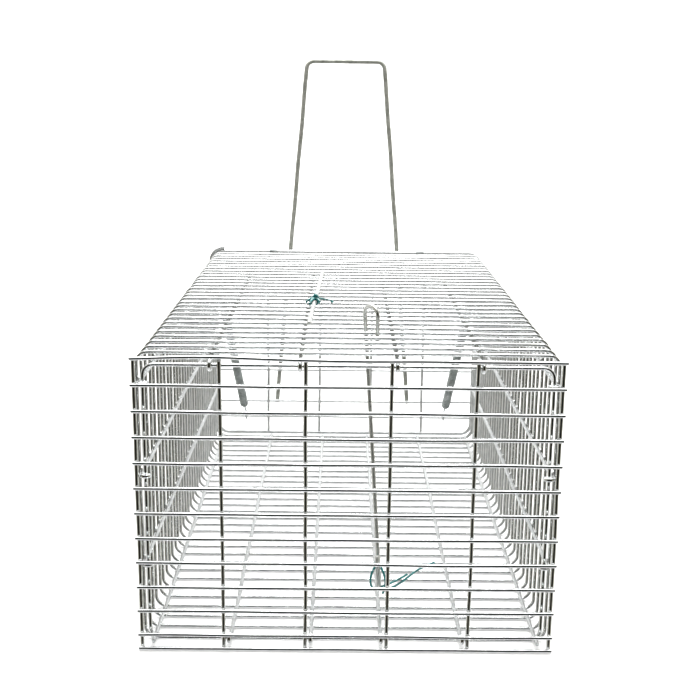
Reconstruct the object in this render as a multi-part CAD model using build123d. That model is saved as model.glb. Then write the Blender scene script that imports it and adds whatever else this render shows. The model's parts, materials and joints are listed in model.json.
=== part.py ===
from build123d import *
import os

# Welded-wire animal cage with a sprung door, in millimetres.
# Sizes are first laid out about the mesh's middle plane, with y = 0 at the inner face of the closed end's
# cross wires and y = CAGE_LENGTH at the door hinge. place() then moves them so that the origin is at the
# bottom centre of the whole cage.
# +X is to the right seen from the closed end, +Y runs to the door and +Z is up.

# Driving dimensions. Widths and heights are between wire centres.
CAGE_LENGTH = 500.0
CAGE_WIDTH = 300.0
CAGE_HEIGHT = 220.0
HOOP_GAPS = 30
PANEL_PITCH = 18.95
MESH_BEND = 8.0
FRAME_BEND = 12.0

# Wire diameters.
HOOP_WIRE = 2.8
LONG_WIRE = 3.2
FRAME_WIRE = 4.0
LEVER_WIRE = 5.0
ROD_WIRE = 3.4
SPRING_WIRE = 1.8
TIE_WIRE = 1.6

# Layout of the mesh sleeve.
HOOP_PITCH = CAGE_LENGTH / HOOP_GAPS
SIDE_X = CAGE_WIDTH / 2
FLOOR_Z = HOOP_WIRE / 2
TOP_Z = FLOOR_Z + CAGE_HEIGHT
LAYER = (HOOP_WIRE + LONG_WIRE) / 2
LONG_TOP_Z = TOP_Z - LAYER
LONG_SIDE_X = SIDE_X - LAYER
LONG_FLOOR_Z = FLOOR_Z + LAYER
TOP_LONG_X = (-97.0, -34.0, 34.0, 94.0)
SIDE_LONG_Z = (66.0, 134.0, 202.0)
FLOOR_LONG_X = (-86.0, -26.0, 26.0, 86.0)
CORNER_LONG_X = SIDE_X - MESH_BEND

# Closed end. Its ring lies just inside the sleeve, so the long wires can be clinched round it.
CLINCH_RADIUS = LAYER
CLINCH_TURN = 200.0
END_RING_Y = LONG_WIRE + HOOP_WIRE / 2
END_UPRIGHT_X = (30.0, 90.0, 149.8)
END_WIRE_OVERHANG = 2.0
END_WIRE_HALF = SIDE_X + END_WIRE_OVERHANG
END_TOP_Z = 220.6
END_CROSS_ROWS = 12

# Door end. The ring's top bar is the hinge pin.
HINGE_Y = CAGE_LENGTH
HINGE_Z = LONG_TOP_Z + (LONG_WIRE + FRAME_WIRE) / 2
DOOR_RING_X = LONG_SIDE_X + (LONG_WIRE + FRAME_WIRE) / 2
DOOR_RING_BOTTOM_Z = FRAME_WIRE / 2
RING_TAIL_BOTTOM_Z = 201.0
DOOR_GAP = 0.4
DOOR_FRAME_Y = HINGE_Y + FRAME_WIRE + DOOR_GAP
DOOR_FRAME_X = SIDE_X - 1.0
DOOR_FRAME_DROP = 7.6
DOOR_FRAME_TOP_Z = HINGE_Z - DOOR_FRAME_DROP
DOOR_FRAME_BOTTOM_Z = 6.0
DOOR_CROSS_Y = DOOR_FRAME_Y + (FRAME_WIRE + HOOP_WIRE) / 2
DOOR_UPRIGHT_Y = DOOR_CROSS_Y - LAYER
DOOR_UPRIGHT_X = (-90.0, -30.0, 30.0, 90.0)
DOOR_FIRST_Z = 24.45
DOOR_ROWS = 10
DOOR_CROSS_HALF = SIDE_X
LONG_END_Y = HINGE_Y + 1.5
FLOOR_LONG_GAP = 0.2
FLOOR_LONG_END_Y = HINGE_Y - FRAME_WIRE / 2 - FLOOR_LONG_GAP

# Hinge clips.
CLIP_X = 83.0
CLIP_WIDTH = 9.0
CLIP_WALL = 1.0
CLIP_CLEARANCE = 0.08

# Lift lever, a U of one wire on the outside of the door.
LEVER_Y = DOOR_CROSS_Y + (HOOP_WIRE + LEVER_WIRE) / 2
LEVER_CENTRE_X = -3.5
LEVER_FOOT = (77.0, 40.5)
LEVER_HEAD = (42.3, 432.0)
LEVER_BEND = 8.0

# Door springs, from the side walls to the lowest cross wire of the door.
SPRING_TOP = (139.5, 446.0, 194.0)
SPRING_FOOT_X = 116.5
COIL_FOOT = (117.8, 501.5, 38.0)
COIL_OUTER = 10.0
COIL_INNER = 7.0
LOOP_RADIUS = 4.4
LOOP_TURN = 330.0
LOOP_SLACK = 0.3

# Hold-down rod, hung on a hoop of the top by an eye in its own end.
ROD_HOOP = 21
ROD_PIVOT_X = -24.5
ROD_TIP = (-31.0, 101.0, TOP_Z + 3.5)
ROD_EYE_CLEARANCE = 0.1
ROD_EYE_RADIUS = (HOOP_WIRE + ROD_WIRE) / 2 + ROD_EYE_CLEARANCE
ROD_EYE_START = -235.0
ROD_EYE_TURN = 325.0
ROD_TIE_Y = 191.5
ROD_TIE_CLEARANCE = 0.05
ROD_TIE_WIDTH = 4.0
ROD_TIE_LEFT_END = (-7.0, -5.0, 1.5)
ROD_TIE_RIGHT_END = (11.0, -1.0, 2.5)
TIE_OVERLAP = 0.2

# Bait rod, an arch over one hoop of the top with one long leg that ends in a hook.
ARCH_LONG_LEG = (12.0, 91.0)
ARCH_SHORT_LEG = (22.0, 78.0)
ARCH_TOP_Z = 242.5
ARCH_BEND = 7.0
SHORT_LEG_Z = 215.0
HOOK_BACK = (27.5, 82.0)
HOOK_FRONT = (26.5, 68.0)
HOOK_BOTTOM_Z = 15.0
HOOK_BEND = 6.9
HOOK_END_Z = 45.0
HOOK_LEAN = -2.0
HOOK_TIE_RISE = 15.0
HOOK_TIE_HEIGHT = 8.0
HOOK_TIE_CLEARANCE = 0.4
HOOK_TIE_TAIL = (74.0, 107.0, 22.0)

# Outermost faces, for place().
LEFT_X = -DOOR_RING_X - 1.5 * FRAME_WIRE
RIGHT_X = DOOR_RING_X + FRAME_WIRE / 2
CENTRE_X = (LEFT_X + RIGHT_X) / 2
FRONT_Y = -HOOP_WIRE
BACK_Y = LEVER_Y + LEVER_WIRE / 2
CENTRE_Y = (FRONT_Y + BACK_Y) / 2


def place(solids):
    """One compound of the solids, moved from the layout's frame to the cage's own."""
    return Pos(-CENTRE_X, -CENTRE_Y, 0) * Compound(children=list(solids))


def save(name, solids):
    """Write one node."""
    export_step(place(solids), os.path.join("parts", name + ".step"))


def rod(start, end, diameter):
    """A straight round wire with cut ends."""
    start, end = Vector(*start), Vector(*end)
    return Solid.make_cylinder(diameter / 2, (end - start).length, Plane(start, z_dir=end - start))


def swept(path, diameter):
    """A round wire along a path of lines and arcs."""
    section = Plane(path @ 0, z_dir=path % 0) * Circle(diameter / 2)
    return sweep(section, path=path).solid()


def bent(points, radius, diameter, closed=False):
    """A round wire through the points, with one bend radius or a list of them."""
    return swept(FilletPolyline(*points, radius=radius, close=closed), diameter)


def closed_ring(half_x, bottom_z, top_z, y, bend, diameter):
    """A rectangular ring of one wire, standing across the cage."""
    corners = [(half_x, bottom_z), (half_x, top_z), (-half_x, top_z), (-half_x, bottom_z)]
    return bent([(x, y, z) for x, z in corners], bend, diameter, closed=True)


def arc_wire(radius, start_degrees, turn_degrees, diameter):
    """A round wire along an arc about the origin, in the XY plane."""
    path = CenterArc((0, 0), radius, start_degrees, turn_degrees)
    return swept(path, diameter)


def hoop_ys():
    return [k * HOOP_PITCH for k in range(1, HOOP_GAPS)]


# Mesh sleeve: 29 hoops, each in four straight runs and four bends.

def top_cross_wires():
    half = SIDE_X - MESH_BEND
    return [rod((-half, y, TOP_Z), (half, y, TOP_Z), HOOP_WIRE) for y in hoop_ys()]


def floor_cross_wires():
    half = SIDE_X - MESH_BEND
    return [rod((-half, y, FLOOR_Z), (half, y, FLOOR_Z), HOOP_WIRE) for y in hoop_ys()]


def side_uprights(x):
    low, high = FLOOR_Z + MESH_BEND, TOP_Z - MESH_BEND
    return [rod((x, y, low), (x, y, high), HOOP_WIRE) for y in hoop_ys()]


def mesh_corner_bends():
    """The quarter turns that join the hoops' straight runs."""
    bends = []
    for y in hoop_ys():
        for side_x, start_top, start_floor in ((1, 0, 270), (-1, 90, 180)):
            for z, start in ((TOP_Z - MESH_BEND, start_top), (FLOOR_Z + MESH_BEND, start_floor)):
                corner = Plane((side_x * (SIDE_X - MESH_BEND), y, z), x_dir=(1, 0, 0), z_dir=(0, -1, 0))
                bends.append(corner * arc_wire(MESH_BEND, start, 90, HOOP_WIRE))
    return bends


def clinched_wire(x, z, inward, end_y):
    """A long wire and its near end, hooked round the ring of the closed end towards inward."""
    straight = rod((x, END_RING_Y, z), (x, end_y, z), LONG_WIRE)
    centre = Vector(x, END_RING_Y, z) + Vector(*inward) * CLINCH_RADIUS
    outward = Vector(*inward) * -1
    hook = Plane(centre, x_dir=(0, 1, 0), z_dir=Vector(0, 1, 0).cross(outward))
    return [straight, hook * arc_wire(CLINCH_RADIUS, 90, CLINCH_TURN, LONG_WIRE)]


def top_long_wires():
    return [s for x in TOP_LONG_X for s in clinched_wire(x, LONG_TOP_Z, (0, 0, -1), LONG_END_Y)]


def side_long_wires(side):
    x = side * LONG_SIDE_X
    return [s for z in SIDE_LONG_Z for s in clinched_wire(x, z, (-side, 0, 0), LONG_END_Y)]


def floor_long_wires():
    """The floor's long wires. The two in the corners are plain at both ends."""
    wires = []
    for x in FLOOR_LONG_X:
        wires += clinched_wire(x, LONG_FLOOR_Z, (0, 0, 1), FLOOR_LONG_END_Y)
    for x in (-CORNER_LONG_X, CORNER_LONG_X):
        start = (x, END_RING_Y - HOOP_WIRE / 2, LONG_FLOOR_Z)
        wires.append(rod(start, (x, FLOOR_LONG_END_Y, LONG_FLOOR_Z), LONG_WIRE))
    return wires


# Closed end.

def end_panel_cross_wires():
    rows = [END_TOP_Z - row * PANEL_PITCH for row in range(END_CROSS_ROWS)] + [FLOOR_Z]
    y = FRONT_Y / 2
    return [rod((-END_WIRE_HALF, y, z), (END_WIRE_HALF, y, z), HOOP_WIRE) for z in rows]


def end_panel_uprights():
    """Six uprights, welded to the inner side of the cross wires."""
    y, top = LONG_WIRE / 2, END_TOP_Z + HOOP_WIRE / 2
    return [rod((s * x, y, 0), (s * x, y, top), LONG_WIRE) for x in END_UPRIGHT_X for s in (-1, 1)]


def end_panel_ring():
    half_x = LONG_SIDE_X - CLINCH_RADIUS
    bottom, top = LONG_FLOOR_Z + CLINCH_RADIUS, LONG_TOP_Z - CLINCH_RADIUS
    return [closed_ring(half_x, bottom, top, END_RING_Y, MESH_BEND, HOOP_WIRE)]


# Door end.

def door_ring():
    return [closed_ring(DOOR_RING_X, DOOR_RING_BOTTOM_Z, HINGE_Z, HINGE_Y, FRAME_BEND, FRAME_WIRE)]


def door_ring_tail():
    """The end of the ring's wire, laid over its own top left corner and turned down outside it."""
    radius = FRAME_BEND + FRAME_WIRE
    centre_x, centre_z = FRAME_BEND - DOOR_RING_X, HINGE_Z - FRAME_BEND
    plane = Plane((centre_x, HINGE_Y, centre_z), x_dir=(1, 0, 0), z_dir=(0, -1, 0))
    turned = plane * arc_wire(radius, 90, 90, FRAME_WIRE)
    x = centre_x - radius
    return [turned.fuse(rod((x, HINGE_Y, centre_z), (x, HINGE_Y, RING_TAIL_BOTTOM_Z), FRAME_WIRE)).solid()]


def door_frame():
    low, high = DOOR_FRAME_BOTTOM_Z, DOOR_FRAME_TOP_Z
    return [closed_ring(DOOR_FRAME_X, low, high, DOOR_FRAME_Y, FRAME_BEND, FRAME_WIRE)]


def door_uprights():
    low, high = DOOR_FRAME_BOTTOM_Z + FRAME_WIRE / 2, DOOR_FRAME_TOP_Z - FRAME_WIRE / 2
    return [rod((x, DOOR_UPRIGHT_Y, low), (x, DOOR_UPRIGHT_Y, high), LONG_WIRE) for x in DOOR_UPRIGHT_X]


def door_cross_wires():
    rows = [DOOR_FIRST_Z + row * PANEL_PITCH for row in range(DOOR_ROWS)]
    y, half = DOOR_CROSS_Y, DOOR_CROSS_HALF
    return [rod((-half, y, z), (half, y, z), HOOP_WIRE) for z in rows]


def hinge_clips():
    """Two crimped straps. Each holds the door frame's top bar and turns freely on the ring's top bar."""
    drop = Vector(0, DOOR_FRAME_Y - HINGE_Y, DOOR_FRAME_TOP_Z - HINGE_Z)
    outer = FRAME_WIRE / 2 + CLIP_WALL
    clips = []
    for x in (-CLIP_X, CLIP_X):
        middle = Vector(x - CLIP_WIDTH / 2, HINGE_Y, HINGE_Z) + drop * 0.5
        section = Plane(middle, x_dir=drop, z_dir=(1, 0, 0))
        half = drop.length / 2
        profile = SlotCenterToCenter(drop.length, 2 * outer)
        profile -= Pos(-half, 0) * Circle(FRAME_WIRE / 2 + CLIP_CLEARANCE)
        profile -= Pos(half, 0) * Circle(FRAME_WIRE / 2)
        clips.append(extrude(section * profile, CLIP_WIDTH).solid())
    return clips


def lift_lever():
    """Two splayed legs on the door's cross wires, joined by a crossbar well above the top."""
    foot_x, foot_z = LEVER_FOOT
    head_x, head_z = LEVER_HEAD
    outline = [(-foot_x, foot_z), (-head_x, head_z), (head_x, head_z), (foot_x, foot_z)]
    return [bent([(LEVER_CENTRE_X + x, LEVER_Y, z) for x, z in outline], LEVER_BEND, LEVER_WIRE)]


# Door springs.

def loop_with_shank(wire_centre, wire_diameter, loop_plane_normal, shank_end, slack):
    """A spring's end loop, hung on a wire of the cage, and the shank that runs from it to the coil."""
    wire_centre, shank_end = Vector(*wire_centre), Vector(*shank_end)
    normal = Vector(*loop_plane_normal)
    pull = shank_end - wire_centre
    pull = (pull - normal * pull.dot(normal)).normalized()
    inner = LOOP_RADIUS - SPRING_WIRE / 2
    centre = wire_centre + pull * (inner - wire_diameter / 2 - slack)
    plane = Plane(centre, x_dir=pull, z_dir=normal)
    loop = plane * arc_wire(LOOP_RADIUS, 0, LOOP_TURN, SPRING_WIRE)
    shank = rod(centre + pull * LOOP_RADIUS, shank_end, SPRING_WIRE)
    return [loop.fuse(shank).solid()]


def spring_upper_loop(side):
    """The loop over the side wall's top long wire, next to a hoop."""
    x, y, z = SPRING_TOP
    wire = (side * LONG_SIDE_X, y, SIDE_LONG_Z[-1])
    return loop_with_shank(wire, LONG_WIRE, (0, 1, 0), (side * x, y, z), 0)


def spring_coil(side):
    """The coil's envelope, a plain tube from the upper shank to the lower one."""
    x, y, z = SPRING_TOP
    foot_x, foot_y, foot_z = COIL_FOOT
    top, foot = Vector(side * x, y, z), Vector(side * foot_x, foot_y, foot_z)
    run = foot - top
    start = Plane(top, z_dir=run)
    tube = Solid.make_cylinder(COIL_OUTER / 2, run.length, start)
    return [tube.cut(Solid.make_cylinder(COIL_INNER / 2, run.length, start)).solid()]


def spring_lower_loop(side):
    """The loop round the door's lowest cross wire, with its shank led in to the coil's edge."""
    x, y, z = COIL_FOOT
    shank_end = (side * x, y, z)
    wire = (side * SPRING_FOOT_X, DOOR_CROSS_Y, DOOR_FIRST_Z)
    return loop_with_shank(wire, HOOP_WIRE, (1, 0, 0), shank_end, LOOP_SLACK)


# Hold-down rod.

def hold_down_rod():
    """A long straight rod that leaves its eye over the top of the pivot hoop."""
    pivot = Vector(ROD_PIVOT_X, ROD_HOOP * HOOP_PITCH, TOP_Z)
    eye_plane = Plane(pivot, x_dir=(0, 1, 0), z_dir=(1, 0, 0))
    eye = eye_plane * arc_wire(ROD_EYE_RADIUS, ROD_EYE_START, ROD_EYE_TURN, ROD_WIRE)
    straight = rod(pivot + Vector(0, 0, ROD_EYE_RADIUS), ROD_TIP, ROD_WIRE)
    return [eye.fuse(straight).solid()]


def rod_centre(y):
    """The hold-down rod's centre at a place along the cage."""
    start = Vector(ROD_PIVOT_X, ROD_HOOP * HOOP_PITCH, TOP_Z + ROD_EYE_RADIUS)
    tip = Vector(*ROD_TIP)
    return start + (tip - start) * ((start.Y - y) / (start.Y - tip.Y))


def rod_tie():
    """A plastic twist tie round the hold-down rod: its collar and two twisted ends."""
    centre = rod_centre(ROD_TIE_Y)
    inner, outer, width = ROD_WIRE / 2 + ROD_TIE_CLEARANCE, ROD_WIRE / 2 + TIE_WIRE, ROD_TIE_WIDTH
    start = Plane(centre + Vector(0, -width / 2, 0), z_dir=(0, 1, 0))
    collar = Solid.make_cylinder(outer, width, start).cut(Solid.make_cylinder(inner, width, start)).solid()
    base = centre + Vector(0, 0, outer - TIE_OVERLAP)
    left_end = rod(base, base + Vector(*ROD_TIE_LEFT_END), 1.5 * TIE_WIRE)
    right_end = rod(base, base + Vector(*ROD_TIE_RIGHT_END), TIE_WIRE)
    return [collar.fuse(left_end, right_end).solid()]


# Bait rod.

def bait_rod():
    """One wire: short leg, arch over the hoop, long leg down through the top, and a hook turned up."""
    short_x, short_y = ARCH_SHORT_LEG
    long_x, long_y = ARCH_LONG_LEG
    back_x, back_y = HOOK_BACK
    front_x, front_y = HOOK_FRONT
    points = [
        (short_x, short_y, SHORT_LEG_Z),
        (short_x, short_y, ARCH_TOP_Z),
        (long_x, long_y, ARCH_TOP_Z),
        (back_x, back_y, HOOK_BOTTOM_Z),
        (front_x, front_y, HOOK_BOTTOM_Z),
        (front_x + HOOK_LEAN, front_y, HOOK_END_Z),
    ]
    return [bent(points, [ARCH_BEND, ARCH_BEND, HOOK_BEND, HOOK_BEND], ROD_WIRE)]


def hook_tie():
    """A plastic twist tie on the bait hook: a collar round the hook's two legs and a twisted tail."""
    back, front = Vector(*HOOK_BACK, HOOK_BOTTOM_Z), Vector(*HOOK_FRONT, HOOK_BOTTOM_Z)
    share = HOOK_TIE_RISE / (ARCH_TOP_Z - HOOK_BOTTOM_Z)
    back += (Vector(*ARCH_LONG_LEG, ARCH_TOP_Z) - back) * share
    tip_rise = HOOK_END_Z - HOOK_BOTTOM_Z
    front += Vector(HOOK_LEAN, 0, tip_rise) * (HOOK_TIE_RISE / tip_rise)
    across = back - front
    level = Plane((back + front) * 0.5, x_dir=across, z_dir=(0, 0, 1))
    inner = ROD_WIRE + 2 * HOOK_TIE_CLEARANCE
    outer = inner + 2 * TIE_WIRE
    band = SlotCenterToCenter(across.length, outer) - SlotCenterToCenter(across.length, inner)
    collar = extrude(level * band, HOOK_TIE_HEIGHT / 2, both=True).solid()
    tail_start = (back + front) * 0.5 + Vector(outer / 2 - TIE_OVERLAP, 0, 0)
    return [collar.fuse(rod(tail_start, HOOK_TIE_TAIL, TIE_WIRE)).solid()]


def main():
    os.makedirs("parts", exist_ok=True)
    save("top_cross_wires", top_cross_wires())
    save("floor_cross_wires", floor_cross_wires())
    save("left_upright_wires", side_uprights(-SIDE_X))
    save("right_upright_wires", side_uprights(SIDE_X))
    save("mesh_corner_bends", mesh_corner_bends())
    save("top_long_wires", top_long_wires())
    save("left_long_wires", side_long_wires(-1))
    save("right_long_wires", side_long_wires(1))
    save("floor_long_wires", floor_long_wires())
    save("end_panel_cross_wires", end_panel_cross_wires())
    save("end_panel_uprights", end_panel_uprights())
    save("end_panel_ring", end_panel_ring())
    save("door_ring", door_ring())
    save("door_ring_tail", door_ring_tail())
    save("door_frame", door_frame())
    save("door_uprights", door_uprights())
    save("door_cross_wires", door_cross_wires())
    save("hinge_clips", hinge_clips())
    save("lift_lever", lift_lever())
    for name, side in (("left", -1), ("right", 1)):
        save(name + "_spring_upper_loop", spring_upper_loop(side))
        save(name + "_spring_coil", spring_coil(side))
        save(name + "_spring_lower_loop", spring_lower_loop(side))
    save("hold_down_rod", hold_down_rod())
    save("rod_tie", rod_tie())
    save("bait_rod", bait_rod())
    save("hook_tie", hook_tie())


main()
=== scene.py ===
import json
import math
import random

import bpy
import numpy as np
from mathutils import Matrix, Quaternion, Vector

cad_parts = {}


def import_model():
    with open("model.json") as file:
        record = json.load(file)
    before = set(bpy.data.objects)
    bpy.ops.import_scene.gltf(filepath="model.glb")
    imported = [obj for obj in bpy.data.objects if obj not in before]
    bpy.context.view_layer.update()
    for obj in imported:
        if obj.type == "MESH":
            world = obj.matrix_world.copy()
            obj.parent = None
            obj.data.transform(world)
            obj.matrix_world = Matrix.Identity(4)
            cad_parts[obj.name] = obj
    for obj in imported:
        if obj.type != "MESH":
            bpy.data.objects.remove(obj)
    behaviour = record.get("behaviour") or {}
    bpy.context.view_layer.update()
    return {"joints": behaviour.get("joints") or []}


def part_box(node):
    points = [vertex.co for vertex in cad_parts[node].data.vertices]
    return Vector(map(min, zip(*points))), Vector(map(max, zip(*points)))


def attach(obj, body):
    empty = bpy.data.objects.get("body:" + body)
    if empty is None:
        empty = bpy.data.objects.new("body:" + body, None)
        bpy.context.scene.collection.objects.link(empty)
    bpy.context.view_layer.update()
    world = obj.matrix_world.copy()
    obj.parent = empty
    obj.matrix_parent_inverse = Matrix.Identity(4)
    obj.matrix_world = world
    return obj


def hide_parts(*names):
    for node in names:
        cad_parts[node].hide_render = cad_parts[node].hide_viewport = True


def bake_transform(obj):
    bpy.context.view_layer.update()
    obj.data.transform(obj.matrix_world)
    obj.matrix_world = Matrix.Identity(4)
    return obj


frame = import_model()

# Lengths are in metres, in the cage's own frame. The mesh's middle plane lies at x = MID_X.
MM = 0.001
STEP = 11 * MM

# How many flat sides each kind of wire is drawn with.
WIRE_SIDES = 14
FRAME_SIDES = 18
LEVER_SIDES = 20
COIL_SIDES = 8
LOOP_SIDES = 10

# The first seed of each group of wires and welds, so that each has a waviness or a lump of its own.
SEED = {"top_long": 10, "side_long": 20, "floor_long": 40, "corner_long": 50,
        "end_cross": 60, "end_upright": 80, "hoop": 100, "door_upright": 200,
        "door_cross": 220, "lever": 300, "hold_down_rod": 400, "top_weld": 1000,
        "floor_weld": 3000, "side_weld": 5000, "end_weld": 7000, "door_weld": 8000}


# ---------------------------------------------------------------- sizes read from the frame

def middle(node):
    low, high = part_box(node)
    return (low + high) / 2


def size(node):
    low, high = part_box(node)
    return high - low


MID_X = middle("top_cross_wires").x
HOOP_R = size("top_cross_wires").z / 2
LONG_R = size("end_panel_uprights").y / 2
FRAME_R = size("door_ring").y / 2
LEVER_R = size("lift_lever").y / 2
ROD_R = 1.7 * MM
SPRING_R = 0.9 * MM
LAYER = HOOP_R + LONG_R

HOOPS = 29
HOOP_LOW_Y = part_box("top_cross_wires")[0].y + HOOP_R
HOOP_HIGH_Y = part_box("top_cross_wires")[1].y - HOOP_R
PITCH_Y = (HOOP_HIGH_Y - HOOP_LOW_Y) / (HOOPS - 1)
HOOP_YS = [HOOP_LOW_Y + k * PITCH_Y for k in range(HOOPS)]
TOP_Z = middle("top_cross_wires").z
FLOOR_Z = middle("floor_cross_wires").z
SIDE_X = middle("right_upright_wires").x - MID_X
MESH_BEND = 8 * MM
FRAME_BEND = 12 * MM

END_FACE_Y = middle("end_panel_cross_wires").y
END_UPRIGHT_Y = middle("end_panel_uprights").y
END_RING_Y = middle("end_panel_ring").y
END_HALF_X = size("end_panel_cross_wires").x / 2
END_TOP_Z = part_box("end_panel_cross_wires")[1].z - HOOP_R
END_ROWS = 12
PANEL_PITCH = 18.95 * MM
END_UPRIGHT_X = [s * x * MM for x in (30.0, 90.0, 149.8) for s in (-1, 1)]

TOP_LONG_X = [x * MM for x in (-97, -34, 34, 94)]
SIDE_LONG_Z = [z * MM for z in (66, 134, 202)]
FLOOR_LONG_X = [x * MM for x in (-86, -26, 26, 86)]
CORNER_LONG_X = SIDE_X - MESH_BEND
LONG_TOP_Z = TOP_Z - LAYER
LONG_SIDE_X = SIDE_X - LAYER
LONG_FLOOR_Z = FLOOR_Z + LAYER
LONG_END_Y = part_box("top_long_wires")[1].y
FLOOR_LONG_END_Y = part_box("floor_long_wires")[1].y

HINGE_Y = middle("door_ring").y
HINGE_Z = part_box("door_ring")[1].z - FRAME_R
DOOR_CROSS_Y = middle("door_cross_wires").y
DOOR_CROSS_LOW_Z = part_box("door_cross_wires")[0].z + HOOP_R
DOOR_ROWS = 10
DOOR_UPRIGHT_X = [x * MM for x in (-90, -30, 30, 90)]
DOOR_CROSS_HALF = size("door_cross_wires").x / 2


# ---------------------------------------------------------------- wire building

def rounded(corners, bend, closed=False, step=STEP):
    """Points along straight lines joined by tangent arcs. bend is one radius, or one for each corner."""
    points = [np.array(c, float) for c in corners]
    count = len(points)
    turning = range(count) if closed else range(1, count - 1)
    bends = dict(zip(turning, bend)) if isinstance(bend, (list, tuple)) else {i: bend for i in turning}
    spans = []
    for i in range(count):
        here = points[i]
        if i not in bends:
            spans.append([here])
            continue
        into = points[i - 1] - here
        out = points[(i + 1) % count] - here
        into, out = into / np.linalg.norm(into), out / np.linalg.norm(out)
        turn = math.pi - math.acos(np.clip(into @ out, -1, 1))
        radius = bends[i]
        reach = radius * math.tan(turn / 2)
        centre = here + (into + out) / np.linalg.norm(into + out) * radius / math.cos(turn / 2)
        first, last = here + into * reach - centre, here + out * reach - centre
        pieces = max(3, int(math.degrees(turn) / 12))
        arc = []
        for k in range(pieces + 1):
            a = turn * k / pieces
            arc.append(centre + (first * math.sin(turn - a) + last * math.sin(a)) / math.sin(turn))
        spans.append(arc)
    path = []
    for i, span in enumerate(spans):
        path += span
        following = spans[(i + 1) % count][0] if (closed or i + 1 < count) else None
        if following is None:
            continue
        gap = np.linalg.norm(following - span[-1])
        parts = max(1, int(gap / step))
        path += [span[-1] + (following - span[-1]) * k / parts for k in range(1, parts)]
    return np.array(path)


def straight(start, end):
    return rounded([start, end], 0)


WAVE_LENGTHS = (0.31, 0.17, 0.083)


def wander(path, amount, seed):
    """The same path with the slight waviness of drawn and straightened wire."""
    chance = random.Random(seed)
    along = np.concatenate([[0], np.cumsum(np.linalg.norm(np.diff(path, axis=0), axis=1))])
    moved = path.copy()
    for wave in WAVE_LENGTHS:
        for axis in range(3):
            swing = chance.uniform(-1, 1) * amount * (wave / WAVE_LENGTHS[0]) ** 0.5
            moved[:, axis] += swing * np.sin(along / wave * 2 * math.pi + chance.uniform(0, 6.28))
    return moved


def settling(start, end, amount, seed):
    """A wavy wire from start to end, whose first few points stay on the straight line."""
    line = straight(start, end)
    fade = np.clip(np.arange(len(line)) / 4, 0, 1)[:, None]
    return line * (1 - fade) + wander(line, amount, seed) * fade


def mesh_object(name, points, faces, material):
    """A new object in the scene."""
    mesh = bpy.data.meshes.new(name)
    mesh.from_pydata(points, [], faces)
    mesh.materials.append(material)
    mesh.update()
    obj = bpy.data.objects.new(name, mesh)
    bpy.context.scene.collection.objects.link(obj)
    return obj


# A wire's end as (distance from the tip, radius), both as shares of the wire's radius.
CUT_END = [(0.0, 0.82), (0.14, 0.98), (0.3, 1.0)]
DOMED_END = [(0.0, 0.35), (0.12, 0.68), (0.35, 0.9), (0.75, 1.0)]


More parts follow.
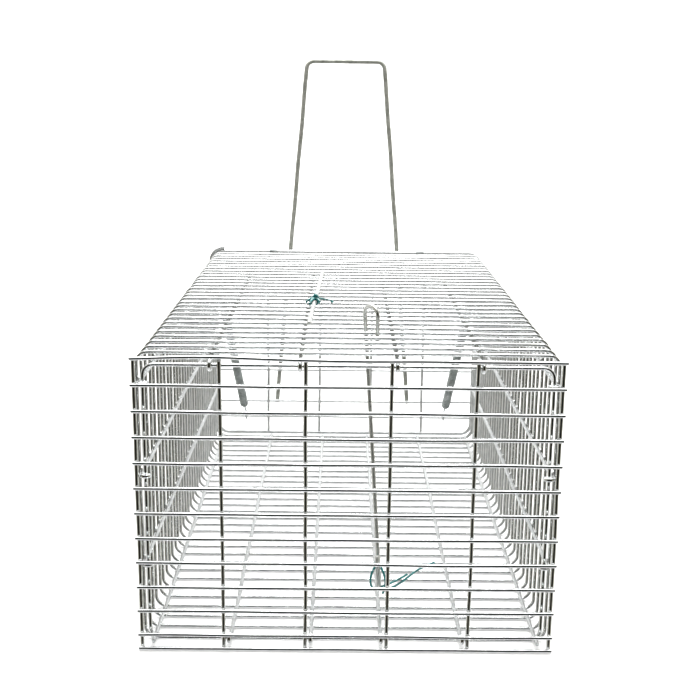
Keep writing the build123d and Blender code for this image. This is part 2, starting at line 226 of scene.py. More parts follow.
class Tubes:
    """Many swept wires in one mesh, with UVs round and along each wire. x is from the middle plane."""

    def __init__(self):
        self.points, self.faces, self.flat, self.uv = [], [], [], []

    def _rings(self, path, across, tangents, radii, sides):
        base = len(self.points)
        turn = np.linspace(0, 2 * math.pi, sides, endpoint=False)
        for centre, u, t, r in zip(path, across, tangents, radii):
            v = np.cross(t, u)
            ring = centre + r * (np.outer(np.cos(turn), u) + np.outer(np.sin(turn), v))
            self.points += ring.tolist()
        return base

    def add(self, path, radius, closed=False, sides=WIRE_SIDES, round_ends=False):
        path = np.array(path, float)
        if closed:
            tangents = np.roll(path, -1, 0) - np.roll(path, 1, 0)
        else:
            tangents = np.gradient(path, axis=0)
        tangents /= np.linalg.norm(tangents, axis=1)[:, None]
        radii = np.full(len(path), float(radius)) if np.isscalar(radius) else np.array(radius, float)
        if not closed:
            path, tangents, radii = self._ends(path, tangents, radii, round_ends)
        across = self._carried(tangents)
        base = self._rings(path, across, tangents, radii, sides)
        along = np.concatenate([[0], np.cumsum(np.linalg.norm(np.diff(path, axis=0), axis=1))])
        count = len(path)
        for i in range(count if closed else count - 1):
            j = (i + 1) % count
            low = along[i]
            high = along[j] if j else along[i] + np.linalg.norm(path[0] - path[-1])
            for k in range(sides):
                m = (k + 1) % sides
                quad = (i * sides + k, i * sides + m, j * sides + m, j * sides + k)
                self.faces.append([base + q for q in quad])
                left, right = k / sides, (k + 1) / sides
                self.uv.append([(left, low), (right, low), (right, high), (left, high)])
                self.flat.append(False)
        if not closed:
            first = [base + k for k in range(sides)][::-1]
            last = [base + (count - 1) * sides + k for k in range(sides)]
            for cap in (first, last):
                self.faces.append(cap)
                self.uv.append([(k / sides, 0) for k in range(sides)])
                self.flat.append(True)

    def _ends(self, path, tangents, radii, round_ends):
        """Adds the last rings of both ends: a small burr for a cut end, or a dome."""
        shape = DOMED_END if round_ends else CUT_END
        start = [path[0] + tangents[0] * radii[0] * inset for inset, _ in shape]
        end = [path[-1] - tangents[-1] * radii[-1] * inset for inset, _ in reversed(shape)]
        inner = slice(1, -1)
        count = len(shape)
        new_path = start + list(path[inner]) + end
        new_tangents = [tangents[0]] * count + list(tangents[inner]) + [tangents[-1]] * count
        first = [radii[0] * share for _, share in shape]
        last = [radii[-1] * share for _, share in reversed(shape)]
        return np.array(new_path), np.array(new_tangents), np.array(first + list(radii[inner]) + last)

    @staticmethod
    def _carried(tangents):
        """A direction across the wire at each point, carried along without twist."""
        u = np.cross(tangents[0], (0.31, 0.52, 0.79))
        carried = []
        for t in tangents:
            u = u - t * (u @ t)
            u /= np.linalg.norm(u)
            carried.append(u)
        return carried

    def blob(self, centre, spread, axis_a, axis_b, axis_c):
        """A small flattened lump of weld metal."""
        rings, sides = 4, 8
        base = len(self.points)
        a, b, c = (np.array(v, float) * s for v, s in zip((axis_a, axis_b, axis_c), spread))
        for i in range(1, rings):
            polar = math.pi * i / rings
            for k in range(sides):
                turn = 2 * math.pi * k / sides
                out = (a * math.cos(turn) + b * math.sin(turn)) * math.sin(polar)
                self.points.append((np.array(centre) + out + c * math.cos(polar)).tolist())
        top, bottom = len(self.points), len(self.points) + 1
        self.points += [(np.array(centre) + c).tolist(), (np.array(centre) - c).tolist()]
        for i in range(rings - 2):
            for k in range(sides):
                m = (k + 1) % sides
                near, far = base + i * sides, base + (i + 1) * sides
                self._face([near + k, far + k, far + m, near + m])
        for k in range(sides):
            m = (k + 1) % sides
            self._face([top, base + k, base + m])
            self._face([bottom, base + (rings - 2) * sides + m, base + (rings - 2) * sides + k])

    def _face(self, corners):
        self.faces.append(corners)
        self.uv.append([(0, 0)] * len(corners))
        self.flat.append(False)

    def piece(self, name, body, material, slot, replaces=()):
        """The mesh as one object that rides on a body."""
        obj = mesh_object(name, [(x + MID_X, y, z) for x, y, z in self.points], self.faces, material)
        mesh = obj.data
        layer = mesh.uv_layers.new(name="along")
        layer.data.foreach_set("uv", np.array([c for face in self.uv for c in face], float).ravel())
        mesh.polygons.foreach_set("use_smooth", [not f for f in self.flat])
        mesh.update()
        if body:
            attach(obj, body)
        if replaces:
            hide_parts(*replaces)
        return obj


# ---------------------------------------------------------------- materials

def new_material(name):
    material = bpy.data.materials.new(name)
    material.use_nodes = True
    tree = material.node_tree
    return material, tree, tree.nodes["Principled BSDF"]


def noise(tree, vector, scale, detail=4.0, roughness=0.55):
    node = tree.nodes.new("ShaderNodeTexNoise")
    node.inputs["Scale"].default_value = scale
    node.inputs["Detail"].default_value = detail
    node.inputs["Roughness"].default_value = roughness
    tree.links.new(vector, node.inputs["Vector"])
    return node.outputs["Fac"]


def ramp(tree, value, stops):
    node = tree.nodes.new("ShaderNodeValToRGB")
    elements = node.color_ramp.elements
    while len(elements) < len(stops):
        elements.new(0.5)
    for element, (place, colour) in zip(elements, stops):
        element.position = place
        element.color = (*colour, 1.0)
    tree.links.new(value, node.inputs["Fac"])
    return node.outputs["Color"]


def grey_ramp(tree, value, stops):
    return ramp(tree, value, [(place, (level,) * 3) for place, level in stops])


def mixed(tree, factor, a, b, mode="MIX"):
    """Two colours mixed. Each is another node's output or a plain (r, g, b)."""
    node = tree.nodes.new("ShaderNodeMix")
    node.data_type = "RGBA"
    node.blend_type = mode
    if isinstance(factor, float):
        node.inputs["Factor"].default_value = factor
    else:
        tree.links.new(factor, node.inputs["Factor"])
    for socket, colour in (("A", a), ("B", b)):
        if isinstance(colour, tuple):
            node.inputs[socket].default_value = (*colour, 1.0)
        else:
            tree.links.new(colour, node.inputs[socket])
    return node.outputs["Result"]


def mapped(tree, value, low, high, top=1.0):
    """The value's run from low to high, spread over 0 to top."""
    node = tree.nodes.new("ShaderNodeMapRange")
    node.inputs["From Min"].default_value = low
    node.inputs["From Max"].default_value = high
    node.inputs["To Max"].default_value = top
    tree.links.new(value, node.inputs["Value"])
    return node.outputs["Result"]


def raise_bumps(tree, shader, height, strength, distance):
    bump = tree.nodes.new("ShaderNodeBump")
    bump.inputs["Strength"].default_value = strength
    bump.inputs["Distance"].default_value = distance
    tree.links.new(height, bump.inputs["Height"])
    tree.links.new(bump.outputs["Normal"], shader.inputs["Normal"])


# The zinc is brightest at the closed end, and gets rougher between these two places along the cage.
BRIGHT_Y, DULL_Y = -180 * MM, 150 * MM
DULLING = 0.42


def zinc(name, bright, dull, stain, rough=(0.07, 0.17), marks=0.1):
    """Zinc-plated drawn wire: dull and bright patches, faint stains, fine marks and small pits."""
    material, tree, shader = new_material(name)
    place = tree.nodes.new("ShaderNodeTexCoord")
    where, wire = place.outputs["Object"], place.outputs["UV"]
    stretch = tree.nodes.new("ShaderNodeMapping")
    stretch.inputs["Scale"].default_value = (34.0, 60.0, 1.0)
    tree.links.new(wire, stretch.inputs["Vector"])
    drawn = noise(tree, stretch.outputs["Vector"], 1.0, 3.0)
    patches = noise(tree, where, 140.0, 5.0, 0.62)
    spots = noise(tree, where, 900.0, 3.0, 0.6)
    stains = noise(tree, where, 34.0, 6.0, 0.7)
    base = ramp(tree, patches, [(0.34, dull), (0.62, bright)])
    amount = grey_ramp(tree, stains, [(0.58, 0.0), (0.78, 0.45)])
    tree.links.new(mixed(tree, amount, base, stain), shader.inputs["Base Color"])
    roughness = mixed(tree, 0.4, grey_ramp(tree, patches, [(0.3, rough[1]), (0.7, rough[0])]),
                      grey_ramp(tree, spots, [(0.3, rough[0]), (0.7, rough[1])]))
    lengthwise = tree.nodes.new("ShaderNodeSeparateXYZ")
    tree.links.new(where, lengthwise.inputs["Vector"])
    aged = mapped(tree, lengthwise.outputs["Y"], BRIGHT_Y, DULL_Y, DULLING)
    total = tree.nodes.new("ShaderNodeMath")
    tree.links.new(roughness, total.inputs[0])
    tree.links.new(aged, total.inputs[1])
    tree.links.new(total.outputs["Value"], shader.inputs["Roughness"])
    height = mixed(tree, 0.5, grey_ramp(tree, drawn, [(0.3, 0.0), (0.7, 1.0)]),
                   grey_ramp(tree, spots, [(0.35, 0.0), (0.6, 1.0)]))
    raise_bumps(tree, shader, height, marks, 0.12 * MM)
    shader.inputs["Metallic"].default_value = 1.0
    return material


def plastic(name, deep, light):
    """Glossy coloured plastic over a soft wire core, with scuffs and paler creases."""
    material, tree, shader = new_material(name)
    place = tree.nodes.new("ShaderNodeTexCoord")
    where = place.outputs["Object"]
    shade = noise(tree, where, 260.0, 4.0, 0.6)
    scuff = noise(tree, where, 1500.0, 3.0, 0.6)
    tree.links.new(ramp(tree, shade, [(0.35, deep), (0.72, light)]), shader.inputs["Base Color"])
    tree.links.new(grey_ramp(tree, scuff, [(0.3, 0.22), (0.7, 0.42)]), shader.inputs["Roughness"])
    raise_bumps(tree, shader, scuff, 0.3, 0.2 * MM)
    shader.inputs["Coat Weight"].default_value = 0.4
    shader.inputs["Coat Roughness"].default_value = 0.15
    return material


ZINC = zinc("zinc_plated_wire", (0.83, 0.84, 0.84), (0.66, 0.68, 0.68), (0.60, 0.58, 0.47))
FRAME_ZINC = zinc("zinc_plated_frame_wire", (0.80, 0.81, 0.81), (0.62, 0.64, 0.64), (0.58, 0.56, 0.47))
LEVER_ZINC = zinc("zinc_plated_lever_wire", (0.68, 0.69, 0.65), (0.50, 0.51, 0.47), (0.46, 0.44, 0.35),
                  rough=(0.28, 0.5))
ROD_ZINC = zinc("zinc_plated_rod_wire", (0.74, 0.75, 0.73), (0.56, 0.57, 0.55), (0.52, 0.50, 0.41),
                rough=(0.22, 0.4))
SPRING_STEEL = zinc("spring_steel", (0.70, 0.73, 0.73), (0.52, 0.56, 0.56), (0.46, 0.45, 0.38),
                    rough=(0.25, 0.45))
CLIP_STEEL = zinc("clip_steel", (0.62, 0.64, 0.64), (0.42, 0.44, 0.44), (0.40, 0.37, 0.30),
                  rough=(0.3, 0.5))
WELD_ZINC = zinc("zinc_on_welds", (0.72, 0.73, 0.72), (0.48, 0.49, 0.48), (0.44, 0.40, 0.32),
                 rough=(0.35, 0.6), marks=0.5)
GREEN_TIE = plastic("green_tie_plastic", (0.004, 0.075, 0.075), (0.02, 0.22, 0.21))


# ---------------------------------------------------------------- mesh sleeve

def mesh_hoops():
    """Each hoop is one closed wire bent round all four corners."""
    tubes = Tubes()
    for k, y in enumerate(HOOP_YS):
        corners = [(SIDE_X, y, FLOOR_Z), (SIDE_X, y, TOP_Z), (-SIDE_X, y, TOP_Z), (-SIDE_X, y, FLOOR_Z)]
        path = rounded(corners, MESH_BEND, closed=True)
        tubes.add(wander(path, 0.22 * MM, SEED["hoop"] + k), HOOP_R, closed=True)
    nodes = ("top_cross_wires", "floor_cross_wires", "left_upright_wires", "right_upright_wires",
             "mesh_corner_bends")
    tubes.piece("mesh_hoops", "cage", ZINC, "zinc_wire", nodes)


def clinched_path(start, end_y, inward, seed):
    """A long wire whose near end is hooked round the ring of the closed end."""
    start, inward = np.array(start, float), np.array(inward, float)
    chance = random.Random(seed)
    turn = math.radians(200 + chance.uniform(-25, 15))
    centre = start + inward * LAYER
    hook = []
    pieces = 18
    for k in range(pieces + 1):
        a = turn * (1 - k / pieces)
        hook.append(centre - inward * LAYER * math.cos(a) - np.array((0, 1, 0)) * LAYER * math.sin(a))
    run = settling(start, (start[0], end_y, start[2]), 0.3 * MM, seed)
    return np.array(hook[:-1] + list(run))


def mesh_long_wires():
    tubes = Tubes()
    for n, x in enumerate(TOP_LONG_X):
        near = (x, END_RING_Y, LONG_TOP_Z)
        tubes.add(clinched_path(near, LONG_END_Y, (0, 0, -1), SEED["top_long"] + n), LONG_R)
    for n, z in enumerate(SIDE_LONG_Z):
        for side in (-1, 1):
            near = (side * LONG_SIDE_X, END_RING_Y, z)
            path = clinched_path(near, LONG_END_Y, (-side, 0, 0), SEED["side_long"] + 2 * n + side)
            tubes.add(path, LONG_R)
    for n, x in enumerate(FLOOR_LONG_X):
        near = (x, END_RING_Y, LONG_FLOOR_Z)
        tubes.add(clinched_path(near, FLOOR_LONG_END_Y, (0, 0, 1), SEED["floor_long"] + n), LONG_R)
    for n, x in enumerate((-CORNER_LONG_X, CORNER_LONG_X)):
        start, end = (x, END_RING_Y - HOOP_R, LONG_FLOOR_Z), (x, FLOOR_LONG_END_Y, LONG_FLOOR_Z)
        tubes.add(wander(straight(start, end), 0.15 * MM, SEED["corner_long"] + n), LONG_R)
    nodes = ("top_long_wires", "left_long_wires", "right_long_wires", "floor_long_wires")
    tubes.piece("mesh_long_wires", "cage", ZINC, "zinc_wire", nodes)


def weld(tubes, centre, normal, seed):
    """Flash squeezed out where two wires are pressed together and welded."""
    chance = random.Random(seed)
    normal = np.array(normal, float)
    first = np.cross(normal, (0.3, 0.9, 0.2))
    first /= np.linalg.norm(first)
    second = np.cross(normal, first)
    spread = [chance.uniform(low, high) * MM for low, high in ((1.5, 1.9), (1.5, 1.9), (0.75, 0.95))]
    tubes.blob(centre, spread, first, second, normal)


def mesh_welds():
    """The welds between the hoops and the long wires."""
    tubes = Tubes()
    for k, y in enumerate(HOOP_YS):
        for n, x in enumerate(TOP_LONG_X):
            weld(tubes, (x, y, TOP_Z - HOOP_R), (0, 0, 1), SEED["top_weld"] + 31 * k + n)
        for n, x in enumerate(FLOOR_LONG_X):
            weld(tubes, (x, y, FLOOR_Z + HOOP_R), (0, 0, 1), SEED["floor_weld"] + 31 * k + n)
        for n, z in enumerate(SIDE_LONG_Z):
            for side in (-1, 1):
                seed = SEED["side_weld"] + 31 * k + 2 * n + side
                weld(tubes, (side * (SIDE_X - HOOP_R), y, z), (1, 0, 0), seed)
    tubes.piece("mesh_welds", "cage", WELD_ZINC, "zinc_wire")


# ---------------------------------------------------------------- closed end

def end_rows():
    return [END_TOP_Z - row * PANEL_PITCH for row in range(END_ROWS)] + [FLOOR_Z]


BOW_RISE, BOW_SPREAD = 1.7 * MM, 45 * MM


def end_cross_wires():
    """The closed end's cross wires. The top one bows up over the first long wire's clinch."""
    tubes = Tubes()
    for n, z in enumerate(end_rows()):
        path = straight((-END_HALF_X, END_FACE_Y, z), (END_HALF_X, END_FACE_Y, z))
        path[:, 2] = wander(path, 0.3 * MM, SEED["end_cross"] + n)[:, 2]
        if n == 0:
            path[:, 2] += BOW_RISE * np.exp(-((path[:, 0] - TOP_LONG_X[0]) / BOW_SPREAD) ** 2)
        tubes.add(path, HOOP_R)
    tubes.piece("end_cross_wires", "cage", ZINC, "zinc_wire", ("end_panel_cross_wires",))


def end_uprights():
    tubes = Tubes()
    low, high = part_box("end_panel_uprights")
    for n, x in enumerate(END_UPRIGHT_X):
        path = straight((x, END_UPRIGHT_Y, low.z), (x, END_UPRIGHT_Y, high.z))
        path[:, 0] = wander(path, 0.35 * MM, SEED["end_upright"] + n)[:, 0]
        tubes.add(path, LONG_R)
    tubes.piece("end_uprights", "cage", ZINC, "zinc_wire", ("end_panel_uprights",))


def ring_path(node, bend, wire_radius):
    """The middle line of a closed wire ring that fills a node's box."""
    low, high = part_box(node)
    y = (low.y + high.y) / 2
    x, bottom, top = (high.x - low.x) / 2 - wire_radius, low.z + wire_radius, high.z - wire_radius
    return rounded([(x, y, bottom), (x, y, top), (-x, y, top), (-x, y, bottom)], bend, closed=True)


def end_ring():
    tubes = Tubes()
    tubes.add(ring_path("end_panel_ring", MESH_BEND, HOOP_R), HOOP_R, closed=True)
    tubes.piece("end_ring", "cage", ZINC, "zinc_wire", ("end_panel_ring",))


def end_welds():
    tubes = Tubes()
    for n, z in enumerate(end_rows()):
        for m, x in enumerate(END_UPRIGHT_X):
            weld(tubes, (x, END_UPRIGHT_Y - LONG_R, z), (0, 1, 0), SEED["end_weld"] + 13 * n + m)
    tubes.piece("end_welds", "cage", WELD_ZINC, "zinc_wire")


# ---------------------------------------------------------------- door end and door

def door_opening_ring():
    tubes = Tubes()
    tubes.add(ring_path("door_ring", FRAME_BEND, FRAME_R), FRAME_R, closed=True, sides=FRAME_SIDES)
    tubes.piece("door_opening_ring", "cage", FRAME_ZINC, "frame_wire", ("door_ring",))


def door_ring_end():
    """The end of the opening ring's wire, laid over the ring's corner and turned down beside it."""
    tubes = Tubes()
    low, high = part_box("door_ring_tail")
    radius = FRAME_BEND + 2 * FRAME_R
    centre = np.array((low.x - MID_X + FRAME_R + radius, HINGE_Y, high.z - FRAME_R - radius))
    path = []
    pieces = 9
    for k in range(pieces + 1):
        a = math.pi / 2 * k / pieces
        path.append(centre + radius * np.array((-math.sin(a), 0, math.cos(a))))
    down = straight(path[-1], (path[-1][0], HINGE_Y, low.z))
    tubes.add(path[:-1] + list(down), FRAME_R, sides=FRAME_SIDES)
    tubes.piece("door_ring_end", "cage", FRAME_ZINC, "frame_wire", ("door_ring_tail",))


def door_panel():
    frame_tubes = Tubes()
    frame_tubes.add(ring_path("door_frame", FRAME_BEND, FRAME_R), FRAME_R, closed=True, sides=FRAME_SIDES)
    frame_tubes.piece("door_frame_wire", "door", FRAME_ZINC, "frame_wire", ("door_frame",))
    tubes, welds = Tubes(), Tubes()
    low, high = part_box("door_uprights")
    upright_y = middle("door_uprights").y
    for n, x in enumerate(DOOR_UPRIGHT_X):
        path = straight((x, upright_y, low.z), (x, upright_y, high.z))
        path[:, 0] = wander(path, 0.3 * MM, SEED["door_upright"] + n)[:, 0]
        tubes.add(path, LONG_R)
    for row in range(DOOR_ROWS):
        z = DOOR_CROSS_LOW_Z + row * PANEL_PITCH
        path = straight((-DOOR_CROSS_HALF, DOOR_CROSS_Y, z), (DOOR_CROSS_HALF, DOOR_CROSS_Y, z))
        path[:, 2] = wander(path, 0.25 * MM, SEED["door_cross"] + row)[:, 2]
        tubes.add(path, HOOP_R)
        for m, x in enumerate(DOOR_UPRIGHT_X):
            weld(welds, (x, DOOR_CROSS_Y - HOOP_R, z), (0, 1, 0), SEED["door_weld"] + 7 * row + m)
    tubes.piece("door_mesh_wires", "door", ZINC, "zinc_wire", ("door_uprights", "door_cross_wires"))
    welds.piece("door_welds", "door", WELD_ZINC, "zinc_wire")


LEVER_MID_X = -3.5 * MM
LEVER_FOOT = (77.0 * MM, 40.5 * MM)
LEVER_HEAD_X = 42.3 * MM
LEVER_HEAD_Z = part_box("lift_lever")[1].z - LEVER_R
LEVER_BEND = 8 * MM
LEVER_WELD = (2.4 * MM, 2.2 * MM, 1.1 * MM)


def lever():
    tubes = Tubes()
    y = middle("lift_lever").y
    foot_x, foot_z = LEVER_FOOT
    head_x, head_z = LEVER_HEAD_X, LEVER_HEAD_Z
    outline = [(-foot_x, foot_z), (-head_x, head_z), (head_x, head_z), (foot_x, foot_z)]
    path = rounded([(LEVER_MID_X + x, y, z) for x, z in outline], LEVER_BEND)
    path[:, 0] = wander(path, 0.5 * MM, SEED["lever"])[:, 0]
    tubes.add(path, LEVER_R, sides=LEVER_SIDES)
    tubes.piece("lever_wire", "door", LEVER_ZINC, "lever_wire", ("lift_lever",))


def lever_welds():
    """The welds between the lever's legs and the door's cross wires."""
    tubes = Tubes()
    y = DOOR_CROSS_Y + HOOP_R
    foot_x, foot_z = LEVER_FOOT
    splay = (foot_x - LEVER_HEAD_X) / (LEVER_HEAD_Z - foot_z)
    for row in range(1, DOOR_ROWS):
        z = DOOR_CROSS_LOW_Z + row * PANEL_PITCH
        x = foot_x - (z - foot_z) * splay
        for side in (-1, 1):
            tubes.blob((LEVER_MID_X + side * x, y, z), LEVER_WELD, (1, 0, 0), (0, 0, 1), (0, 1, 0))
    tubes.piece("lever_welds", "door", WELD_ZINC, "lever_wire")


CLIP_WALL = 0.9 * MM
CLIP_CLEARANCE = 0.08 * MM
CLIP_HALF_WIDTH = 4.5 * MM


def clip_straps():
    """A strap of sheet steel wrapped round the ring's top bar and the door frame's top bar."""
    low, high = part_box("door_frame")
    upper = Vector((0, HINGE_Y, HINGE_Z))
    lower = Vector((0, (low.y + high.y) / 2, high.z - FRAME_R))
    drop = (lower - upper).normalized()
    across = Vector((0, drop.z, -drop.y))
    inner = FRAME_R + CLIP_CLEARANCE
    clip_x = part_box("hinge_clips")[1].x - CLIP_HALF_WIDTH - MID_X
    points, faces = [], []

    def outline(radius, pieces=12):
        """A stadium round both bars, as (y, z) points."""
        loop = []
        for centre, sign in ((upper, -1), (lower, 1)):
            for k in range(pieces + 1):
                a = math.pi * k / pieces - math.pi / 2
                loop.append(centre + (drop * math.cos(a) + across * math.sin(a)) * radius * sign)
        return loop

    outer, hole = outline(inner + CLIP_WALL), outline(inner)
    count = len(outer)
    for side in (-1, 1):
        base = len(points)
        x_mid = MID_X + side * clip_x
        for x in (x_mid - CLIP_HALF_WIDTH, x_mid + CLIP_HALF_WIDTH):
            points += [(x, p.y, p.z) for p in outer]
            points += [(x, p.y, p.z) for p in hole]
        shift = 2 * count
        for k in range(count):
            m = (k + 1) % count
            o0, o1, h0, h1 = base + k, base + m, base + count + k, base + count + m
            faces += [(o0, o1, o1 + shift, o0 + shift), (h1, h0, h0 + shift, h1 + shift)]
            faces += [(o1, o0, h0, h1), (o0 + shift, o1 + shift, h1 + shift, h0 + shift)]
    obj = mesh_object("clip_straps", points, faces, CLIP_STEEL)
    bevel = obj.modifiers.new("edges", "BEVEL")
    bevel.width = 0.25 * MM
    bevel.segments = 2
    bevel.limit_method = "ANGLE"
    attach(obj, "door")
    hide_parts("hinge_clips")


# ---------------------------------------------------------------- springs

def pivot_of(joint):
    """Where a joint turns, with x from the middle plane."""
    x, y, z = next(j for j in frame["joints"] if j["name"] == joint)["pos_m"]
    return np.array((x - MID_X, y, z))


COIL_R = 4.1 * MM
COIL_TURNS = 76
COIL_STEPS = 14
SPRING_FOOT_X, SPRING_FOOT_Y, SPRING_FOOT_Z = 117.8 * MM, HINGE_Y + 1.5 * MM, 38 * MM
SPRING_HOLD_X = 116.5 * MM
LOOP_R = 4.4 * MM
LOOP_TURN = math.radians(330)


def spring(side, name):
    """A close-wound extension spring, drawn out between its two end loops."""
    top = pivot_of(name + "_spring_pivot")
    foot = np.array((side * SPRING_FOOT_X, SPRING_FOOT_Y, SPRING_FOOT_Z))
    run = foot - top
    length = np.linalg.norm(run)
    axis = run / length
    u = np.cross(axis, (0, 1, 0))
    u /= np.linalg.norm(u)
    v = np.cross(axis, u)
    steps = COIL_TURNS * COIL_STEPS
    lead = 1.5 * COIL_STEPS
    path = []
    for k in range(steps + 1):
        a = 2 * math.pi * k / COIL_STEPS
        rise = min(1.0, k / lead, (steps - k) / lead)
        radius = COIL_R * (0.25 + 0.75 * rise)
        path.append(top + axis * length * k / steps + (u * math.cos(a) + v * math.sin(a)) * radius)
    tubes = Tubes()
    tubes.add(path, SPRING_R, sides=COIL_SIDES)
    coil = tubes.piece(name + "_coil_wire", None, SPRING_STEEL, "spring_wire", (name + "_spring_coil",))
    top[0] += MID_X
    foot[0] += MID_X
    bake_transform(coil)


def end_loop(centre_wire, wire_radius, normal, shank_end, slack):
    """Points of a spring's end loop over a wire, and of the shank that leads to the coil."""
    wire, normal, shank = np.array(centre_wire), np.array(normal, float), np.array(shank_end)
    pull = shank - wire
    pull -= normal * (pull @ normal)
    pull /= np.linalg.norm(pull)
    centre = wire + pull * (LOOP_R - SPRING_R - wire_radius - slack)
    side = np.cross(normal, pull)
    points = []
    pieces = 30
    for k in range(pieces + 1):
        a = LOOP_TURN * (1 - k / pieces)
        points.append(centre + LOOP_R * (pull * math.cos(a) + side * math.sin(a)))
    start = points[-1]
    lead = [start + (shank - start) * k / 6 for k in range(1, 7)]
    return np.array(points + lead)


def spring_loops(side, name):
    """The loops over the sleeve's highest side wire and over the door's lowest cross wire."""
    top = pivot_of(name + "_spring_pivot")
    upper = Tubes()
    wire = (side * LONG_SIDE_X, top[1], SIDE_LONG_Z[-1])
    upper.add(end_loop(wire, LONG_R, (0, 1, 0), top, 0), SPRING_R, sides=LOOP_SIDES)
    nodes = (name + "_spring_upper_loop",)
    upper.piece(name + "_upper_loop_wire", "cage", SPRING_STEEL, "spring_wire", nodes)
    lower = Tubes()
    foot = (side * SPRING_FOOT_X, SPRING_FOOT_Y, SPRING_FOOT_Z)
    wire = (side * SPRING_HOLD_X, DOOR_CROSS_Y, DOOR_CROSS_LOW_Z)
    lower.add(end_loop(wire, HOOP_R, (1, 0, 0), foot, 0.3 * MM), SPRING_R, sides=LOOP_SIDES)
    nodes = (name + "_spring_lower_loop",)
    lower.piece(name + "_lower_loop_wire", name + "_spring_end", SPRING_STEEL, "spring_wire", nodes)


# ---------------------------------------------------------------- rods and ties

BODY_LENGTH = 500 * MM
SHIFT_Y = HINGE_Y - BODY_LENGTH


def at(x, y, z):
    """A point given in millimetres from the middle plane, the closed end and the ground."""
    return (x * MM, y * MM + SHIFT_Y, z * MM)


ROD_EYE_X, ROD_EYE_Y = -24.5, 350
ROD_TIP_X, ROD_TIP_Y = -31, 101
ROD_TIP_LIFT = 3.5
ROD_TIP = np.array(at(ROD_TIP_X, ROD_TIP_Y, TOP_Z / MM + ROD_TIP_LIFT))
EYE_R = HOOP_R + ROD_R + 0.1 * MM


def hold_down_rod():
    """A rod whose eye wraps round one hoop, and which lies forward along the top."""
    pivot = pivot_of("hold_down_rod_pivot")
    eye = []
    pieces = 30
    for k in range(pieces + 1):
        a = math.radians(-235 + 325 * k / pieces)
        eye.append(pivot + EYE_R * np.array((0, math.cos(a), math.sin(a))))
    run = settling(pivot + np.array((0, 0, EYE_R)), ROD_TIP, 0.25 * MM, SEED["hold_down_rod"])
    tubes = Tubes()
    tubes.add(np.array(eye[:-1] + list(run)), ROD_R, sides=FRAME_SIDES, round_ends=True)
    tubes.piece("hold_down_rod_wire", "hold_down_rod", ROD_ZINC, "rod_wire", ("hold_down_rod",))


ARCH_BEND, HOOK_BEND = 7 * MM, 6.9 * MM


def bait_rod():
    """A short leg, an arch over the top, a long leg down into the cage, and a hook at its foot."""
    arch = [at(22, 78, 215), at(22, 78, 242.5), at(12, 91, 242.5)]
    hook = [at(27.5, 82, 15), at(26.5, 68, 15), at(24.5, 68, 45)]
    path = rounded(arch + hook, [ARCH_BEND, ARCH_BEND, HOOK_BEND, HOOK_BEND], step=8 * MM)
    tubes = Tubes()
    tubes.add(path, ROD_R, sides=FRAME_SIDES)
    tubes.piece("bait_rod_wire", "bait_rod", ROD_ZINC, "rod_wire", ("bait_rod",))


def smooth_curve(points, pieces=12):
    """A smooth curve through a few points."""
    p = [np.array(q, float) for q in points]
    p = [2 * p[0] - p[1], *p, 2 * p[-1] - p[-2]]
    path = []
    for a, b, c, d in zip(p, p[1:], p[2:], p[3:]):
        for k in range(pieces):
            t = k / pieces
            path.append(0.5 * (2 * b + (c - a) * t + (2 * a - 5 * b + 4 * c - d) * t * t
                               + (3 * b - 3 * c + d - a) * t ** 3))
    path.append(p[-2])
    return np.array(path)


def strands(tubes, runs):
    """Strands of a twist tie, each given by its thickness in millimetres and the points it runs through."""
    for thickness, points in runs:
        tubes.add(smooth_curve(points), thickness * MM / 2, sides=LOOP_SIDES, round_ends=True)


ROD_TIE_Y = 191.5
TIE_TURN_R = 2.75


def rod_tie():
    """A twist tie knotted round the hold-down rod, with its short ends splayed."""
    share = (ROD_EYE_Y - ROD_TIE_Y) / (ROD_EYE_Y - ROD_TIP_Y)
    rod_x = ROD_EYE_X + (ROD_TIP_X - ROD_EYE_X) * share
    rod_z = TOP_Z / MM + 3.2 + 0.3 * share

    def by(x, y, z):
        """A point measured from the rod's middle line, where the tie is."""
        return at(rod_x + x, ROD_TIE_Y + y, rod_z + z)

    tubes = Tubes()
    pieces = 12
    for turn, lift in ((-1.4, 0.0), (0.2, 0.2), (1.8, -0.1)):
        ring = []
        for k in range(pieces + 1):
            a = 2 * math.pi * k / pieces
            across, up = TIE_TURN_R * math.cos(a), TIE_TURN_R * math.sin(a)
            ring.append(by(across, turn + 0.35 * math.sin(a), lift + up))
        strands(tubes, [(1.9, ring)])
    strands(tubes, [
        (2.6, [by(-1.5, 1, 3.2), by(0.5, 0, 5.6), by(2.6, -1, 3.4), by(1, -2, 2.6)]),
        (2.0, [by(0, 0, 3.4), by(-4, -2, 2.6), by(-7.5, -5, 0.2)]),
        (2.2, [by(0, -1, 3.2), by(-2.5, -5, 2.0), by(-4, -9, -0.6)]),
        (2.2, [by(0, -1, 3.2), by(3, -3, 2.2), by(4.6, -6, 0.6)]),
        (1.3, [by(0, 0, 3.4), by(5, -1, 3.0), by(13, -3, 2.2), by(15, -4, 1.2)]),
    ])
    tubes.blob(by(15, -4, 0.8), (1.5 * MM, 1.4 * MM, 1.2 * MM), (1, 0, 0), (0, 1, 0), (0, 0, 1))
    tubes.piece("rod_tie_twist", "hold_down_rod", GREEN_TIE, "tie_plastic", ("rod_tie",))


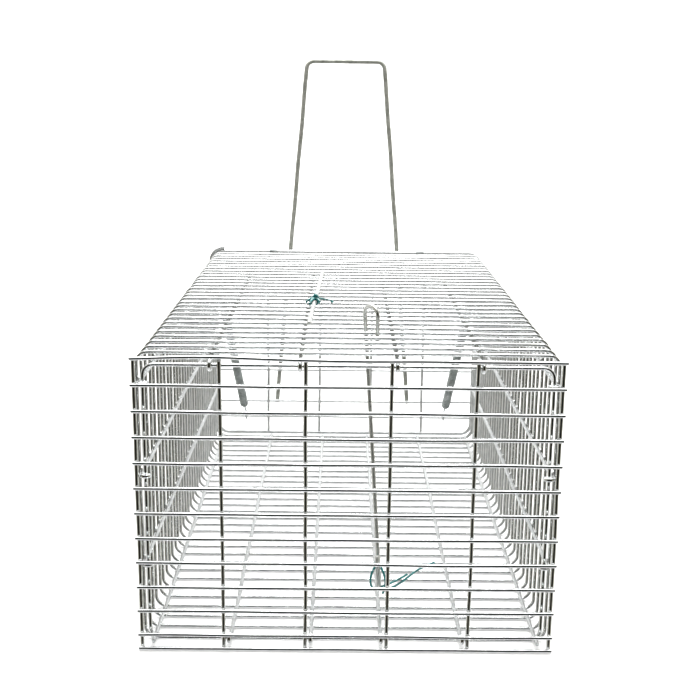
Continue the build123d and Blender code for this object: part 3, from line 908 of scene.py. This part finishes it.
def hook_tie():
    """A twist tie looped over the bait hook, with its two ends led off to one side."""
    tubes = Tubes()
    strands(tubes, [
        (1.9, [at(25.8, 70.5, 38), at(21.5, 67, 33), at(19.6, 65, 26), at(21.0, 66, 19),
               at(25.0, 69, 16.5)]),
        (1.9, [at(25.8, 70.5, 38), at(29.5, 67, 32), at(31.4, 65, 25), at(31.0, 66, 18),
               at(29.6, 68, 12.5)]),
        (1.9, [at(25, 69, 16.5), at(33, 71, 19), at(42, 77, 20.5), at(50, 84, 22)]),
        (1.9, [at(29.6, 70, 15), at(38, 74, 15.5), at(47, 80, 18.5), at(56, 90, 21),
               at(66, 99, 22.5), at(74, 107, 22)]),
        (1.6, [at(27.0, 79, 34), at(23.8, 76, 36), at(23.0, 70.5, 37.5), at(25.8, 69.9, 38.5)]),
    ])
    tubes.piece("hook_tie_twist", "bait_rod", GREEN_TIE, "tie_plastic", ("hook_tie",))


# ---------------------------------------------------------------- stage, light and camera

def pale_paint(name):
    """Plain matt studio paint with a faint roller texture."""
    material, tree, shader = new_material(name)
    place = tree.nodes.new("ShaderNodeTexCoord")
    grain = noise(tree, place.outputs["Object"], 60.0, 3.0)
    tree.links.new(grey_ramp(tree, grain, [(0.3, 0.92), (0.7, 0.94)]), shader.inputs["Base Color"])
    shader.inputs["Roughness"].default_value = 0.9
    shader.inputs["Specular IOR Level"].default_value = 0.2
    return material


def studio():
    """A round pale cyclorama: a flat floor that curves up into a wall, and that the wires don't mirror."""
    radius, bend, top, sides, pieces = 3.4, 0.8, 3.4, 64, 12
    profile = [(0.9 * MM, 0.0), (radius - bend, 0.0)]
    for k in range(1, pieces + 1):
        a = math.pi / 2 * k / pieces
        profile.append((radius - bend + bend * math.sin(a), bend - bend * math.cos(a)))
    profile.append((radius, top))
    points = []
    for r, z in profile:
        for k in range(sides):
            a = 2 * math.pi * k / sides
            points.append((r * math.sin(a), r * math.cos(a), z - 0.2 * MM))
    faces = [tuple(range(sides))]
    for i in range(len(profile) - 1):
        for k in range(sides):
            m = (k + 1) % sides
            faces.append((i * sides + k, i * sides + m, (i + 1) * sides + m, (i + 1) * sides + k))
    obj = mesh_object("cyclorama", points, faces, pale_paint("pale_paint"))
    obj.data.polygons.foreach_set("use_smooth", [True] * len(faces))
    obj.visible_glossy = False
    obj.visible_shadow = False


def area_light(name, place, aim, width, height, power):
    data = bpy.data.lights.new(name, "AREA")
    data.shape = "RECTANGLE"
    data.size, data.size_y = width, height
    data.energy = power
    obj = bpy.data.objects.new(name, data)
    obj.location = place
    obj.rotation_euler = (Vector(aim) - Vector(place)).to_track_quat("-Z", "Y").to_euler()
    bpy.context.scene.collection.objects.link(obj)


def lights():
    area_light("overhead", (0, 0.25, 2.2), (0, 0.25, 0), 2.4, 2.4, 46)
    area_light("far_end", (0, 0.34, 0.95), (0, 0.20, 0.22), 0.5, 0.35, 8.0)
    area_light("backdrop_wash", (0, 1.3, 2.0), (0, 3.4, 0.6), 3.4, 0.8, 90)


def world():
    """A light tent: white all round, with a dark opening at eye level on the closed end's side."""
    room = bpy.data.worlds.new("studio_room")
    room.use_nodes = True
    tree = room.node_tree
    place = tree.nodes.new("ShaderNodeTexCoord")
    parts = tree.nodes.new("ShaderNodeSeparateXYZ")
    tree.links.new(place.outputs["Generated"], parts.inputs["Vector"])

    def level(channel):
        return mapped(tree, parts.outputs[channel], -1.0, 1.0)

    band = grey_ramp(tree, level("Z"), [(0.12, 0.0), (0.24, 1.0), (0.86, 1.0), (0.94, 0.0)])
    ahead = grey_ramp(tree, level("Y"), [(0.45, 1.0), (0.68, 0.0)])
    opening = mixed(tree, 1.0, band, ahead, "MULTIPLY")
    white = (0.95, 0.95, 0.95)
    dark = ramp(tree, level("Y"), [(0.0, (0.012, 0.012, 0.012)), (0.16, (0.03, 0.028, 0.022)),
                                   (0.34, (0.50, 0.475, 0.38)), (0.6, (0.66, 0.64, 0.54))])
    tree.links.new(mixed(tree, opening, white, dark), tree.nodes["Background"].inputs["Color"])
    tree.nodes["Background"].inputs["Strength"].default_value = 1.0
    bpy.context.scene.world = room


LENS = 56.1
VIEW_POINT = at(-6.1, -731.4, 404.5)
VIEW_PITCH, VIEW_YAW, VIEW_ROLL = math.radians(13.545), math.radians(0.519), math.radians(0.726)


def camera():
    """The viewpoint: in front of the closed end, above it and looking slightly down."""
    data = bpy.data.cameras.new("view_camera")
    data.sensor_width = 36
    data.lens = LENS
    obj = bpy.data.objects.new("view_camera", data)
    bpy.context.scene.collection.objects.link(obj)
    obj.location = VIEW_POINT
    obj.location.x += MID_X
    level = math.cos(VIEW_PITCH)
    forward = Vector((math.sin(VIEW_YAW) * level, math.cos(VIEW_YAW) * level, -math.sin(VIEW_PITCH)))
    aim = forward.to_track_quat("-Z", "Y")
    obj.rotation_mode = "QUATERNION"
    obj.rotation_quaternion = aim @ Quaternion((0, 0, 1), VIEW_ROLL)
    data.clip_start, data.clip_end = 0.05, 50
    bpy.context.scene.camera = obj


mesh_hoops()
mesh_long_wires()
mesh_welds()
end_cross_wires()
end_uprights()
end_ring()
end_welds()
door_opening_ring()
door_ring_end()
door_panel()
lever()
lever_welds()
clip_straps()
for one_side, side_name in ((-1, "left"), (1, "right")):
    spring(one_side, side_name)
    spring_loops(one_side, side_name)
hold_down_rod()
bait_rod()
rod_tie()
hook_tie()
studio()
lights()
world()
camera()
bpy.context.scene.view_settings.view_transform = "Standard"
